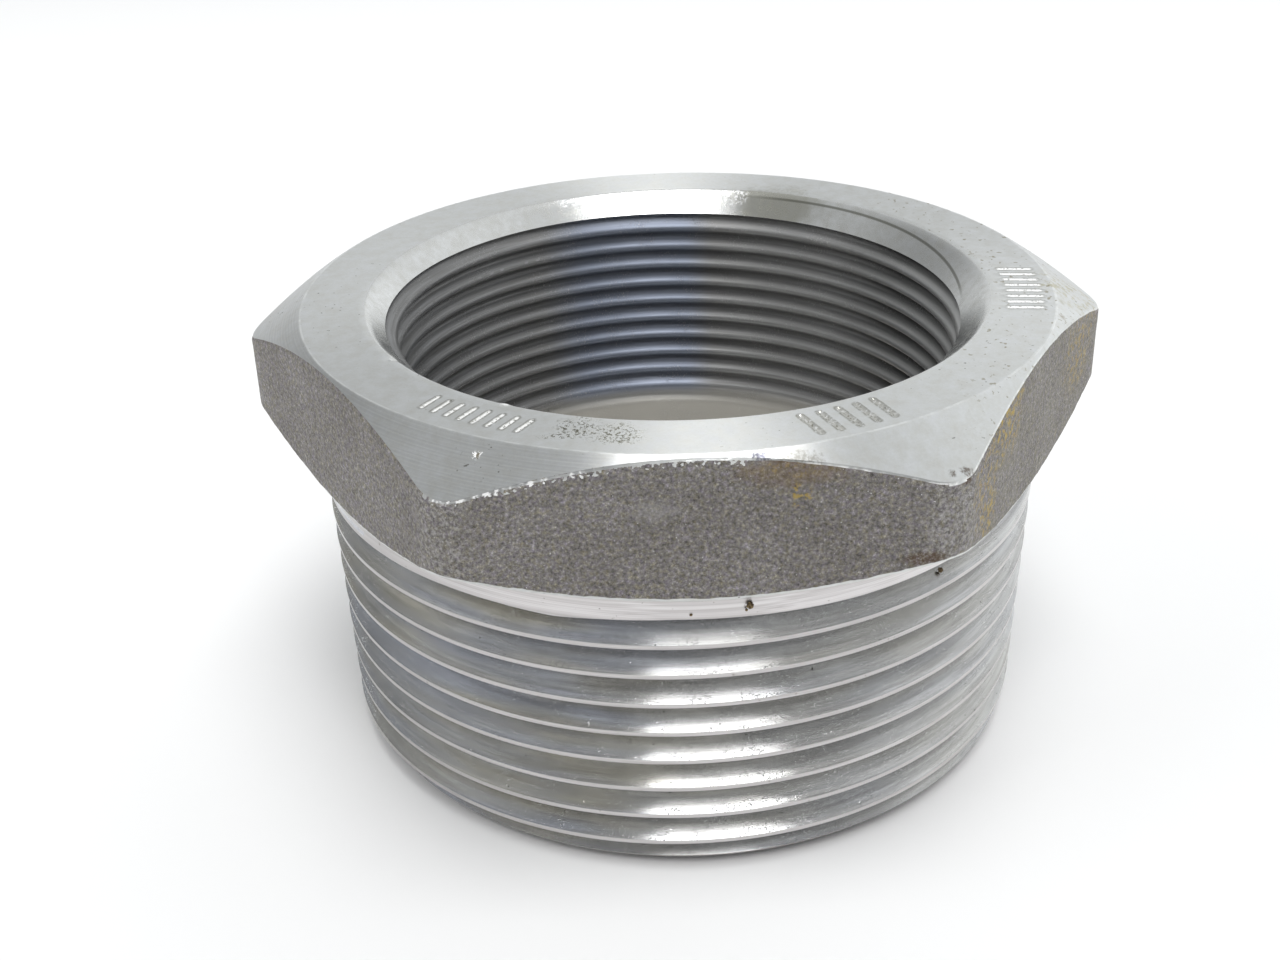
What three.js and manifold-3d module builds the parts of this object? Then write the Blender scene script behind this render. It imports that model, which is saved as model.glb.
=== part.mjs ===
// Forged steel hex reducing bushing: a 2-1/2 in male taper pipe thread outside and a 2 in female
// taper pipe thread inside a hexagon head. The whole object is one solid piece of steel.
// Millimetres. Z is the pipe axis: the small end stands on Z = 0 and the hexagon is on top.

import * as THREE from 'three';
import { mergeVertices } from 'three/addons/utils/BufferGeometryUtils.js';
import Module from 'manifold-3d';

const INCH = 25.4;
const FULL_TURN = 2 * Math.PI;
const HEX_SIDES = 6;
const radians = THREE.MathUtils.degToRad;

// Whole body
const TOTAL_LENGTH = 45.4;
const SEGMENTS_PER_TURN = 32;
const CUT_CLEARANCE = 2;

// Hexagon head, with two flats facing -Y and +Y
const ACROSS_FLATS = 3 * INCH;
const HEX_CORNER_RADIUS = 4.75;
const HEX_CORNER_DIVISIONS = 2;
const BLANK_RADIUS = 45;
const TOP_FACE_RADIUS = 37.5;
const TOP_CHAMFER_SLOPE = Math.tan(radians(32.5));
const UNDERSIDE_Z_AT_FLAT = 31.7;
const UNDERSIDE_SLOPE = Math.tan(radians(29));

// Shank between the small end and the hexagon
const COLLAR_RADIUS = 36.75;
const COLLAR_START_Z = 29;
const SMALL_END_RADIUS = 33.6;
const SMALL_END_CHAMFER_HEIGHT = 2.3;

// Bore
const COUNTERSINK_RADIUS = 30.9;
const PLAIN_BORE_RADIUS = 27.35;
const LOWER_CHAMFER = 0.8;

// Taper pipe threads. The taper is the change in radius for each millimetre along Z. A crest flat is a
// width along Z, and a thread's first crest has its lower edge at firstCrestZ at startAngle. The groove
// is wound from turn `from` to turn `to`, and fades out over the turns given at each end.
const PIPE_TAPER = 1 / 32;
const FLANK_SLOPE = Math.tan(radians(30));
const FLANK_OVERRUN = 0.2;
const GROOVE_OVERRUN = 1.2;
const MALE_THREAD = {
  outward: 1,
  pitch: INCH / 8,
  crestRadiusAtZero: 35.8,
  crestFlat: 0.42,
  startAngle: radians(-90),
  firstCrestZ: 3.59,
  from: -2,
  to: 8.34375,
  fadeAtStart: 0,
  fadeAtEnd: 0.18,
};
const FEMALE_THREAD = {
  outward: -1,
  pitch: INCH / 11.5,
  crestRadiusAtZero: 28.28 - TOTAL_LENGTH * PIPE_TAPER,
  crestFlat: 0.3,
  startAngle: radians(90),
  firstCrestZ: 18.77,
  from: 0.625,
  to: 13,
  fadeAtStart: 0.25,
  fadeAtEnd: 0,
};

const STEEL = new THREE.MeshStandardMaterial({ color: 0x8d8b86, roughness: 0.42, metalness: 0.9 });

const wasm = await Module();
wasm.setup();

// A closed three.js geometry as a solid that can be joined and cut.
function solidFrom(geometry) {
  const bare = geometry.clone();
  bare.deleteAttribute('normal');
  bare.deleteAttribute('uv');
  const merged = mergeVertices(bare, 1e-4);
  return new wasm.Manifold(new wasm.Mesh({
    numProp: 3,
    vertProperties: new Float32Array(merged.attributes.position.array),
    triVerts: new Uint32Array(merged.index.array),
  }));
}

// A solid as a three.js geometry with a normal for each facet.
function geometryFrom(solid) {
  const mesh = solid.getMesh();
  const geometry = new THREE.BufferGeometry();
  geometry.setAttribute('position', new THREE.BufferAttribute(mesh.vertProperties, 3));
  geometry.setIndex(new THREE.BufferAttribute(mesh.triVerts, 1));
  const facets = geometry.toNonIndexed();
  facets.computeVertexNormals();
  return facets;
}

// The solid of revolution about Z whose [radius, z] outline is given from the bottom up.
function turned(outline) {
  const points = outline.map(([radius, z]) => new THREE.Vector2(radius, z));
  const lathe = new THREE.LatheGeometry(points, SEGMENTS_PER_TURN);
  return solidFrom(lathe.rotateX(Math.PI / 2));
}

// The radius at a thread's crests, which the pipe taper changes along Z.
function crestRadius(thread, z) {
  return thread.crestRadiusAtZero + PIPE_TAPER * z;
}

// The turned outside before the thread is cut: chamfered small end, taper shank, collar, the cone
// under the hexagon, the cone above it and the flat top face.
function turnedBlank() {
  const flatRadius = ACROSS_FLATS / 2;
  const undersideZ = (radius) => UNDERSIDE_Z_AT_FLAT + UNDERSIDE_SLOPE * (radius - flatRadius);
  const topChamferZ = (radius) => TOTAL_LENGTH - TOP_CHAMFER_SLOPE * (radius - TOP_FACE_RADIUS);
  return turned([
    [0, 0],
    [SMALL_END_RADIUS, 0],
    [crestRadius(MALE_THREAD, SMALL_END_CHAMFER_HEIGHT), SMALL_END_CHAMFER_HEIGHT],
    [COLLAR_RADIUS, COLLAR_START_Z],
    [COLLAR_RADIUS, undersideZ(COLLAR_RADIUS)],
    [BLANK_RADIUS, undersideZ(BLANK_RADIUS)],
    [BLANK_RADIUS, topChamferZ(BLANK_RADIUS)],
    [TOP_FACE_RADIUS, TOTAL_LENGTH],
    [0, TOTAL_LENGTH],
  ]);
}

// A hexagonal bar with rounded corners on X, longer than the body at both ends.
function hexagonBar() {
  const outline = new THREE.Shape();
  const side = FULL_TURN / HEX_SIDES;
  const centreRadius = (ACROSS_FLATS / 2 - HEX_CORNER_RADIUS) / Math.cos(side / 2);
  for (let corner = 0; corner < HEX_SIDES; corner += 1) {
    const angle = corner * side;
    const x = centreRadius * Math.cos(angle);
    const y = centreRadius * Math.sin(angle);
    outline.absarc(x, y, HEX_CORNER_RADIUS, angle - side / 2, angle + side / 2, false);
  }
  const bar = new THREE.ExtrudeGeometry(outline, {
    depth: TOTAL_LENGTH + 2 * CUT_CLEARANCE,
    curveSegments: HEX_CORNER_DIVISIONS,
    bevelEnabled: false,
  });
  return solidFrom(bar.translate(0, 0, -CUT_CLEARANCE));
}

// The space inside the bushing without its thread: plain bore, taper bore and countersunk mouth.
function turnedBore() {
  const taperStartZ = (PLAIN_BORE_RADIUS - FEMALE_THREAD.crestRadiusAtZero) / PIPE_TAPER;
  const mouthCrestRadius = crestRadius(FEMALE_THREAD, TOTAL_LENGTH);
  const countersinkDepth = COUNTERSINK_RADIUS - mouthCrestRadius;
  const below = -CUT_CLEARANCE;
  const above = TOTAL_LENGTH + CUT_CLEARANCE;
  return turned([
    [0, below],
    [PLAIN_BORE_RADIUS + LOWER_CHAMFER - below, below],
    [PLAIN_BORE_RADIUS, LOWER_CHAMFER],
    [PLAIN_BORE_RADIUS, taperStartZ],
    [crestRadius(FEMALE_THREAD, TOTAL_LENGTH - countersinkDepth), TOTAL_LENGTH - countersinkDepth],
    [COUNTERSINK_RADIUS + CUT_CLEARANCE, above],
    [0, above],
  ]);
}

// The V section of a thread's groove, with its width along X and its height from root to beyond crest
// along Y. The flanks run a little past the crest, then the sides go straight up.
function grooveSection(thread) {
  const halfMouth = (thread.pitch - thread.crestFlat) / 2;
  const depth = halfMouth / FLANK_SLOPE;
  const halfTop = halfMouth + FLANK_OVERRUN * FLANK_SLOPE;
  const corners = [
    [0, -depth],
    [halfTop, FLANK_OVERRUN],
    [halfTop, GROOVE_OVERRUN],
    [-halfTop, GROOVE_OVERRUN],
    [-halfTop, FLANK_OVERRUN],
  ];
  const points = corners.map(([x, y]) => new THREE.Vector2(x, y));
  return { depth, shape: new THREE.Shape(points) };
}

// How far the groove has faded at a turn: 0 where it is at full depth, 1 where it has left the metal.
function fadeAt(thread, turn) {
  const start = thread.fadeAtStart > 0 ? 1 - (turn - thread.from) / thread.fadeAtStart : 0;
  const end = thread.fadeAtEnd > 0 ? 1 - (thread.to - turn) / thread.fadeAtEnd : 0;
  return Math.max(start, end, 0);
}

// The helical groove of a right-hand thread: a straight bar of the groove's section, one unit long
// for each turn, wound round Z. A female thread's section is turned over, so its root is outside.
function threadGroove(thread) {
  const { depth, shape } = grooveSection(thread);
  const turns = thread.to - thread.from;
  const bar = new THREE.ExtrudeGeometry(shape, {
    depth: turns,
    steps: Math.round(turns * SEGMENTS_PER_TURN),
    bevelEnabled: false,
  });
  const centreOffset = (thread.pitch - thread.crestFlat) / 2;
  const position = bar.attributes.position;
  for (let i = 0; i < position.count; i += 1) {
    const turn = thread.from + position.getZ(i);
    const angle = thread.startAngle + turn * FULL_TURN;
    const centreZ = thread.firstCrestZ - centreOffset + turn * thread.pitch;
    const z = centreZ + thread.outward * position.getX(i);
    const lift = position.getY(i) + fadeAt(thread, turn) * (depth + FLANK_OVERRUN);
    const radius = crestRadius(thread, centreZ) + thread.outward * lift;
    position.setXYZ(i, radius * Math.cos(angle), radius * Math.sin(angle), z);
  }
  return solidFrom(bar);
}

const bushingBody = turnedBlank()
  .intersect(hexagonBar())
  .subtract(turnedBore())
  .subtract(threadGroove(MALE_THREAD))
  .subtract(threadGroove(FEMALE_THREAD));

const bushing = new THREE.Group();
const body = new THREE.Mesh(geometryFrom(bushingBody), STEEL);
body.name = 'bushing_body';
bushing.add(body);

export default bushing;
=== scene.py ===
"""Hex reducing bushing: a forged hexagon head, a taper-threaded shank and a threaded bore, in one piece."""

from math import atan2, cos, degrees, hypot, pi, radians, sin, tan

import bmesh
import bpy
import numpy as np
from mathutils import Matrix, Vector, noise


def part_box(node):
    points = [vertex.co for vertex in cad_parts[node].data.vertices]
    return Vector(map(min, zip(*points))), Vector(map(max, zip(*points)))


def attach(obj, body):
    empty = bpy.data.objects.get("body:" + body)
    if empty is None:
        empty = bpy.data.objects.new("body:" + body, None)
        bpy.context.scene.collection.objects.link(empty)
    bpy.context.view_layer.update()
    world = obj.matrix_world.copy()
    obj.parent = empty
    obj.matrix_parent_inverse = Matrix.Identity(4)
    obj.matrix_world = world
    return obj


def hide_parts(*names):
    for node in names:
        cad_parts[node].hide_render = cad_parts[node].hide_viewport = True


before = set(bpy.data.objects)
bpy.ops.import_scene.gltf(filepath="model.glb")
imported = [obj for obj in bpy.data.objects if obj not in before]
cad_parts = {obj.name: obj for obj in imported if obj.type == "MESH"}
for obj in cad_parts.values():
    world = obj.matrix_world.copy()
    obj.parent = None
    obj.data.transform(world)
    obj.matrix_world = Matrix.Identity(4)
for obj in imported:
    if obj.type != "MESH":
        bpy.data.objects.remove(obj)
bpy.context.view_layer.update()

LOW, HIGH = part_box("bushing_body")
MM = 0.001

# Driving sizes in millimetres, as in the CAD model, with the length and width taken from it.
LENGTH = HIGH.z / MM
HALF_FLATS = HIGH.y / MM
CORNER_RADIUS = 4.75
TOP_FACE_RADIUS = 37.5
TOP_CHAMFER_SLOPE = tan(radians(32.5))
UNDERSIDE_Z_AT_FLAT = 31.7
UNDERSIDE_SLOPE = tan(radians(29))
COLLAR_RADIUS = 36.75
COLLAR_START_Z = 29.0
COLLAR_ROWS_START_Z = 30.4
SMALL_END_RADIUS = 33.6
SMALL_END_CHAMFER = 2.3
COUNTERSINK_RADIUS = 31.15
FACE_Z = LENGTH - 0.03
PLAIN_BORE_RADIUS = 27.35
LOWER_CHAMFER = 0.8
TAPER = 1 / 32
FLANK_RISE = 1 / tan(radians(30))

CORNER_REACH = 43.7
MOUTH_EDGE_Z = LENGTH - 0.5
BORE_THREAD_LOW_Z = 17.0
HEAD_COLUMNS = 720
THREAD_COLUMNS = 360
SEAM_ANGLE = pi / 2

# The bore thread's depth as a share of the nominal one, how much that grows at the mouth, and the
# part of a turn over which either thread runs out.
BORE_FULLNESS = 0.80
MOUTH_DEEPENING = 0.45
RUN_OUT_TURNS = 0.22

# Spacing of the tool's marks on the top chamfer.
TOOL_FEED = 0.29

MALE = {
    "outward": 1, "pitch": 25.4 / 8, "crest_at_zero": 35.8, "crest_flat": 0.42, "root_flat": 0.16,
    "start_angle": radians(-93), "first_crest_z": 3.56, "last_turn": 8.34, "fade_turns": 0.18,
    "first_turn": -9.0, "rows_per_pitch": 7,
}
FEMALE = {
    "outward": -1, "pitch": 25.4 / 11.5, "crest_at_zero": 28.28 - LENGTH * TAPER, "crest_flat": 0.26,
    "root_flat": 0.12, "start_angle": radians(89), "first_crest_z": 19.31, "last_turn": 11.9,
    "fade_turns": 2.8, "first_turn": -0.4, "rows_per_pitch": 6,
}

# Angles in degrees and how far the collar's lower edge is shifted there.
COLLAR_EDGE = ((-128, 0.0), (-119, -0.1), (-110.3, -0.36), (-103.5, -0.15),
               (-93, 0.0), (-67, -0.3), (-51, -0.3), (-35, 0.0))

FORGED, FACED, FLANK, CREST, BORE_FLANK, BORE_WALL, MOUTH = range(7)


def shown(name, data):
    """A new object with this data, in the scene."""
    made = bpy.data.objects.new(name, data)
    bpy.context.scene.collection.objects.link(made)
    return made


# -------- shape by formula

def soft_noise(x, y, z):
    """Smooth noise from -1 to 1 at a point."""
    return noise.noise(Vector((x, y, z)))


def noise_row(radius, angles, z, scale, seed):
    """Smooth noise along a row of points, with features about scale millimetres across."""
    radius = np.broadcast_to(radius, angles.shape)
    z = np.broadcast_to(z, angles.shape)
    return np.array([soft_noise(r * cos(a) / scale, r * sin(a) / scale, h / scale + seed)
                     for r, a, h in zip(radius, angles, z)])


def hexagon_radius(angle):
    """Distance from the axis to the rounded hexagon, whose corners are on X."""
    side = pi / 3
    off = np.abs((angle - pi / 6 + side / 2) % side - side / 2)
    flat = HALF_FLATS / np.cos(off)
    centre = (HALF_FLATS - CORNER_RADIUS) / cos(side / 2)
    from_corner = side / 2 - off
    reach = np.maximum(CORNER_RADIUS ** 2 - (centre * np.sin(from_corner)) ** 2, 0)
    arc = centre * np.cos(from_corner) + np.sqrt(reach)
    tangent = np.arctan2((HALF_FLATS - CORNER_RADIUS) * tan(side / 2), HALF_FLATS)
    return np.where(off > tangent, arc, flat)


def underside_z(radius):
    return UNDERSIDE_Z_AT_FLAT + UNDERSIDE_SLOPE * (radius - HALF_FLATS)


def top_chamfer_z(radius):
    return LENGTH - TOP_CHAMFER_SLOPE * (radius - TOP_FACE_RADIUS)


def helix_z(thread, angle):
    """Height of the first crest's lower edge at an angle counted on from the seam."""
    return thread["first_crest_z"] + thread["pitch"] * (angle - thread["start_angle"]) / (2 * pi)


def groove_turn(thread, angle, z):
    """Turn number, counted along the helix, of the groove at or nearest to a height."""
    centre = helix_z(thread, angle) - (thread["pitch"] - thread["crest_flat"]) / 2
    winding = (angle - thread["start_angle"]) / (2 * pi)
    return np.round((z - centre) / thread["pitch"]) + winding


def groove_depth(thread, angle, z):
    """How far the thread is cut below its crest at a point on the turned surface."""
    pitch, flat = thread["pitch"], thread["crest_flat"]
    within = (z - helix_z(thread, angle)) % pitch
    half_groove = (pitch - flat) / 2
    from_centre = np.abs(within - flat - half_groove)
    depth = np.clip(half_groove - np.maximum(from_centre, thread["root_flat"] / 2), 0, None) * FLANK_RISE
    if thread is FEMALE:
        rounded = (1 - np.cos(2 * pi * (within - flat / 2) / pitch)) / 2
        near_mouth = np.clip((z - LENGTH + 3.0) / 2.6, 0, 1)
        fullness = BORE_FULLNESS + MOUTH_DEEPENING * near_mouth ** 2
        depth = rounded * (half_groove - thread["root_flat"] / 2) * FLANK_RISE * fullness
    turn = groove_turn(thread, angle, z)
    full = (half_groove - thread["root_flat"] / 2) * FLANK_RISE
    begun = np.clip((turn - thread["first_turn"]) / thread["fade_turns"], 0, 1) ** 1.5
    left = np.clip((thread["last_turn"] - turn) / RUN_OUT_TURNS, 0, 1)
    return np.clip(depth * begun - full * (1 - left), 0, None)


def collar_edge_shift(angle, z):
    """How far the collar's uneven lower edge lies above the thread's true helix, near that edge."""
    turned = (np.degrees(angle) + 180) % 360 - 180
    places, shifts = zip(*COLLAR_EDGE)
    edge_z = helix_z(MALE, angle) + 7 * MALE["pitch"]
    closeness = np.clip(1 - np.abs(z - edge_z) / 0.9, 0, 1)
    return np.interp(turned, places, shifts) * closeness


def crest_radius(thread, z):
    return thread["crest_at_zero"] + TAPER * z


def small_end_slope():
    """How fast the chamfer at the small end widens."""
    return (crest_radius(MALE, SMALL_END_CHAMFER) - SMALL_END_RADIUS) / SMALL_END_CHAMFER


def outer_turned(z):
    """The shank before threading: end chamfer, taper and collar."""
    chamfer = SMALL_END_RADIUS + z * small_end_slope()
    return np.minimum(np.minimum(chamfer, crest_radius(MALE, z)), COLLAR_RADIUS)


def outer_radius(angle, z):
    return np.minimum(outer_turned(z), crest_radius(MALE, z) - groove_depth(MALE, angle, z))


def bore_turned(z):
    """The bore before threading: plain bore, taper and countersunk mouth."""
    countersink = COUNTERSINK_RADIUS - (LENGTH - z)
    return np.maximum(np.maximum(crest_radius(FEMALE, z), PLAIN_BORE_RADIUS), countersink)


def bore_radius(angle, z):
    return np.maximum(bore_turned(z), crest_radius(FEMALE, z) + groove_depth(FEMALE, angle, z))


def truncated_edges(thread, low, high, cut_radius, cut_slope):
    """Moves a crest's two edges down its flanks to where a chamfer or countersink cuts them."""
    outward = thread["outward"]
    slope = cut_slope * outward
    over_low = np.clip(outward * (crest_radius(thread, low) - cut_radius(low)), 0, None)
    over_high = np.clip(outward * (crest_radius(thread, high) - cut_radius(high)), 0, None)
    reach = (thread["pitch"] - thread["crest_flat"]) / 2 * 0.9
    low = low - np.minimum(over_low / (FLANK_RISE - slope), reach)
    high = high + np.minimum(over_high / (FLANK_RISE + slope), reach)
    return low, high


def thread_turns(thread, angles, z_low, z_high):
    """The turns whose crests lie between two heights, with two to spare at each end."""
    base = helix_z(thread, angles)
    first = int(np.floor((z_low - base.max()) / thread["pitch"])) - 2
    last = int(np.ceil((z_high - base.min()) / thread["pitch"])) + 2
    return base, first, last


def rounded_rows(thread, angles, z_low, z_high):
    """Heights of evenly spaced rows on a rounded thread, the first of each pitch along its crest."""
    base, first, last = thread_turns(thread, angles, z_low, z_high)
    count = thread["rows_per_pitch"]
    steps = range(first * count, last * count)
    rows = [base + thread["crest_flat"] / 2 + thread["pitch"] * step / count for step in steps]
    return np.clip(np.array(rows), z_low, z_high)


def below_countersink(angle, z):
    """How much deeper the bore thread is cut than the countersink, negative on the countersink."""
    threaded = crest_radius(FEMALE, z) + groove_depth(FEMALE, angle, z)
    return threaded - COUNTERSINK_RADIUS + (LENGTH - z)


def snapped_to_countersink(heights, angles):
    """Moves the row nearest to each crossing of thread and countersink onto that crossing."""
    fine = np.arange(LENGTH - 3.6, LENGTH - 0.62, 0.02)
    for column, angle in enumerate(angles):
        cut = below_countersink(angle, fine)
        for place in np.flatnonzero((cut[1:] > 0) != (cut[:-1] > 0)):
            crossing = fine[place] - 0.02 * cut[place] / (cut[place + 1] - cut[place])
            nearest = np.argmin(np.abs(heights[:, column] - crossing))
            heights[nearest, column] = crossing
    return heights


def sharp_rows(thread, angles, z_low, z_high, cut_radius, cut_slope):
    """Heights of every row of a sharp thread's surface, from below z_low up: for each pitch the crest's
    two edges, its upward flank, the root and its downward flank."""
    pitch, flat, root = thread["pitch"], thread["crest_flat"], thread["root_flat"]
    base, first, last = thread_turns(thread, angles, z_low, z_high)
    edges = []
    for turn in range(first, last + 1):
        low = base + turn * pitch
        edges.append(truncated_edges(thread, low, low + flat, cut_radius, cut_slope))
    rows = []
    for turn, (low, high) in enumerate(edges[:-1]):
        following = edges[turn + 1][0]
        centre = base + (first + turn) * pitch + flat + (pitch - flat) / 2
        rows += [low, high]
        rows += [high + (centre - root / 2 - high) * share for share in (0.4, 0.8)]
        rows += [centre - root / 2, centre + root / 2]
        rows.append((centre + root / 2 + following) / 2)
    return np.clip(np.array(rows), z_low, z_high)


# -------- mesh building

class Surface:
    """Rows of points round the axis, joined into one closed skin."""

    def __init__(self):
        self.points, self.across, self.turns = [], [], []
        self.faces, self.zones = [], []
        self.count = 0

    def row(self, radius, angles, z, across, turns=0.0):
        """Adds one row of points and returns their numbers."""
        radius = np.broadcast_to(radius, angles.shape)
        z = np.broadcast_to(z, angles.shape)
        self.points.append(np.stack([radius * np.cos(angles), radius * np.sin(angles), z], 1))
        self.across.append(np.broadcast_to(across, angles.shape))
        self.turns.append(np.broadcast_to(turns, angles.shape))
        self.count += len(angles)
        return np.arange(self.count - len(angles), self.count)

    def join(self, first, second, zone):
        """Faces between two rows, which may have one or two columns to each of the other's."""
        n, m = len(first), len(second)
        if n == m:
            for i in range(n):
                k = (i + 1) % n
                self.faces.append((first[i], first[k], second[k], second[i]))
        elif m == 2 * n:
            for i in range(n):
                a, b, c = 2 * i, 2 * i + 1, (2 * i + 2) % m
                self.faces.append((first[i], first[(i + 1) % n], second[c], second[b], second[a]))
        else:
            for i in range(m):
                a, b, c = 2 * i, 2 * i + 1, (2 * i + 2) % n
                self.faces.append((first[a], first[b], first[c], second[(i + 1) % m], second[i]))
        self.zones += [zone] * (len(self.faces) - len(self.zones))

    def band(self, last, zone, radius, angles, z, across):
        """Adds a row, joins it to the one before and returns it."""
        row = self.row(radius, angles, z, across)
        self.join(last, row, zone)
        return row

    def join_helical(self, rows, shift, zones):
        """Faces between rows that follow a helix: past the last column, a row goes on as the row
        that is shift rows further along."""
        total, n = rows.shape
        for j in range(total - 1):
            low, high = rows[j], rows[j + 1]
            for i in range(n - 1):
                self.faces.append((low[i], low[i + 1], high[i + 1], high[i]))
            end_low = rows[min(max(j + shift, 0), total - 1)][0]
            end_high = rows[min(max(j + 1 + shift, 0), total - 1)][0]
            self.faces.append((low[-1], end_low, end_high, high[-1]))
            self.zones += [zones[j]] * n

    def build(self, name):
        """The mesh, with points at the same place merged and the faces that this closes left out."""
        points = np.concatenate(self.points)
        keys = np.round(points * 1e4).astype(np.int64)
        _, kept, number = np.unique(keys, axis=0, return_index=True, return_inverse=True)
        number = number.reshape(-1)
        faces, zones = [], []
        for face, zone in zip(self.faces, self.zones):
            corners = [number[v] for v in face]
            corners = [v for v, after in zip(corners, corners[1:] + corners[:1]) if v != after]
            if len(corners) > 2 and len(set(corners)) == len(corners):
                faces.append(corners)
                zones.append(zone)
        mesh = bpy.data.meshes.new(name)
        mesh.from_pydata((points[kept] * MM).tolist(), [], faces)
        mesh.polygons.foreach_set("material_index", zones)
        for title, values in (("across", self.across), ("turns", self.turns)):
            attribute = mesh.attributes.new(title, "FLOAT", "POINT")
            attribute.data.foreach_set("value", np.concatenate(values)[kept].astype(np.float32))
        mesh.update()
        return mesh


def columns(count):
    return SEAM_ANGLE + np.arange(count) * 2 * pi / count


def add_thread(surface, thread, angles, heights, radius_at, crest_zone, flank_zone):
    """One thread's rows and faces. Returns its first and last row, the bore's from the top down."""
    per_pitch = thread["rows_per_pitch"]
    rows = []
    for z in heights:
        within = (z - helix_z(thread, angles)) % thread["pitch"]
        across = np.abs(within - thread["crest_flat"] / 2)
        across = np.minimum(across, thread["pitch"] - across)
        turns = groove_turn(thread, angles, z)
        shift = collar_edge_shift(angles, z) if thread is MALE else 0
        rows.append(surface.row(radius_at(angles, z), angles, z + shift, across, turns))
    rows = np.array(rows)
    zones = [crest_zone if number % per_pitch == 0 else flank_zone for number in range(len(rows))]
    if thread is FEMALE:
        rows = rows[::-1]
        surface.join_helical(rows, -per_pitch, zones[:-1][::-1])
    else:
        surface.join_helical(rows, per_pitch, zones)
    return rows[0], rows[-1]


def blended(start, end, count, ease=1.0):
    """count shares from just past start to end."""
    return [start + (end - start) * ((i + 1) / count) ** ease for i in range(count)]


def forged_dent(angles, z):
    """How far the forged skin lies below the true hexagon, always inwards."""
    hexagon = hexagon_radius(angles)
    broad = noise_row(hexagon, angles, z, 11.0, 3.0)
    middling = noise_row(hexagon, angles, z, 3.1, 17.0)
    small = noise_row(hexagon, angles, z, 1.0, 31.0)
    return 0.10 + 0.05 * broad + 0.025 * middling + 0.018 * small


def add_head(surface, collar_row):
    """Collar, cone under the hexagon, hexagon sides, top chamfer and flat top face."""
    angles = columns(HEAD_COLUMNS)
    hexagon = hexagon_radius(angles)
    last = collar_row
    fillet_z = underside_z(COLLAR_RADIUS)
    for z in blended(COLLAR_ROWS_START_Z, fillet_z - 0.15, 2):
        last = surface.band(last, CREST, COLLAR_RADIUS, angles, z, z)
    cone = hexagon - 0.3
    for share in blended(0, 1, 5):
        radius = COLLAR_RADIUS + 0.15 + (cone - COLLAR_RADIUS - 0.15) * share
        last = surface.band(last, FACED, radius, angles, underside_z(radius), radius)
    rag = noise_row(hexagon, angles, 0, 1.3, 5.0) * 0.09 + noise_row(hexagon, angles, 0, 0.5, 8.0) * 0.07
    low_z = underside_z(hexagon) + 0.12 + rag
    burr = noise_row(hexagon, angles, 0, 0.7, 12.0) * 0.05 + noise_row(hexagon, angles, 0, 2.5, 15.0) * 0.06
    high_z = top_chamfer_z(hexagon) - 0.05 + burr
    for share in [0.0, 0.02] + blended(0.04, 0.96, 12) + [0.98, 1.0]:
        z = low_z + (high_z - low_z) * share
        dent = forged_dent(angles, z)
        if share in (0.0, 1.0):
            dent = dent + 0.06
        last = surface.band(last, FORGED if share else FACED, hexagon - dent, angles, z, z)
    rim = hexagon - 0.25
    for share in [0.0] + blended(0, 1, 3):
        radius = rim + (TOP_FACE_RADIUS + 0.06 - rim) * share
        z = np.minimum(top_chamfer_z(radius), FACE_Z)
        last = surface.band(last, FACED if share else FORGED, radius, angles, z, radius)
    ring = [TOP_FACE_RADIUS - 0.08] + blended(TOP_FACE_RADIUS - 0.08, COUNTERSINK_RADIUS + 0.1, 9)
    for radius in ring:
        last = surface.band(last, FACED, radius, angles, FACE_Z, radius)
    return surface.band(last, MOUTH, COUNTERSINK_RADIUS - 0.08, angles, FACE_Z - 0.09, COUNTERSINK_RADIUS)


def add_bore(surface, angles, last):
    """Countersunk mouth, bore thread, plain lower bore and the chamfer at its end."""
    mouth = surface.band(last, MOUTH, bore_turned(MOUTH_EDGE_Z), angles, MOUTH_EDGE_Z, 0.0)
    heights = rounded_rows(FEMALE, angles, BORE_THREAD_LOW_Z, MOUTH_EDGE_Z)
    heights = snapped_to_countersink(heights, angles)
    top, last = add_thread(surface, FEMALE, angles, heights, bore_radius, BORE_FLANK, BORE_FLANK)
    surface.join(mouth, top, MOUTH)
    for z in (14.0, 11.0, 8.0, 5.0, 3.0, LOWER_CHAMFER + 0.1):
        last = surface.band(last, BORE_WALL, bore_turned(z), angles, z, z)
    end = PLAIN_BORE_RADIUS + LOWER_CHAMFER
    for radius, z in ((PLAIN_BORE_RADIUS + 0.1, LOWER_CHAMFER - 0.1), (end - 0.1, 0.1), (end + 0.1, 0.0)):
        last = surface.band(last, FACED, radius, angles, z, radius)
    return last


def add_small_end(surface, angles, last, first):
    """The flat small end, from the bore out to the shank's first row."""
    inner = PLAIN_BORE_RADIUS + LOWER_CHAMFER
    outer = outer_radius(angles, np.zeros_like(angles))
    for share in blended(0, 1, 5)[:-1]:
        radius = inner + (outer - inner) * share
        last = surface.band(last, FACED, radius, angles, 0.0, radius)
    surface.join(last, first, FACED)


def build_body():
    """The whole fitting as one closed mesh."""
    surface = Surface()
    angles = columns(THREAD_COLUMNS)
    heights = sharp_rows(MALE, angles, 0.0, COLLAR_ROWS_START_Z, outer_turned, small_end_slope())
    first, last = add_thread(surface, MALE, angles, heights, outer_radius, CREST, FLANK)
    last = add_head(surface, last)
    last = add_bore(surface, angles, last)
    add_small_end(surface, angles, last, first)
    return shown("bushing", surface.build("bushing"))


# -------- wear and marks in the mesh

def on_face(angle, radius):
    """A point of the top face, in millimetres, from its angle in degrees and its distance from the axis."""
    return Vector((radius * cos(radians(angle)), radius * sin(radians(angle)), FACE_Z))


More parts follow.
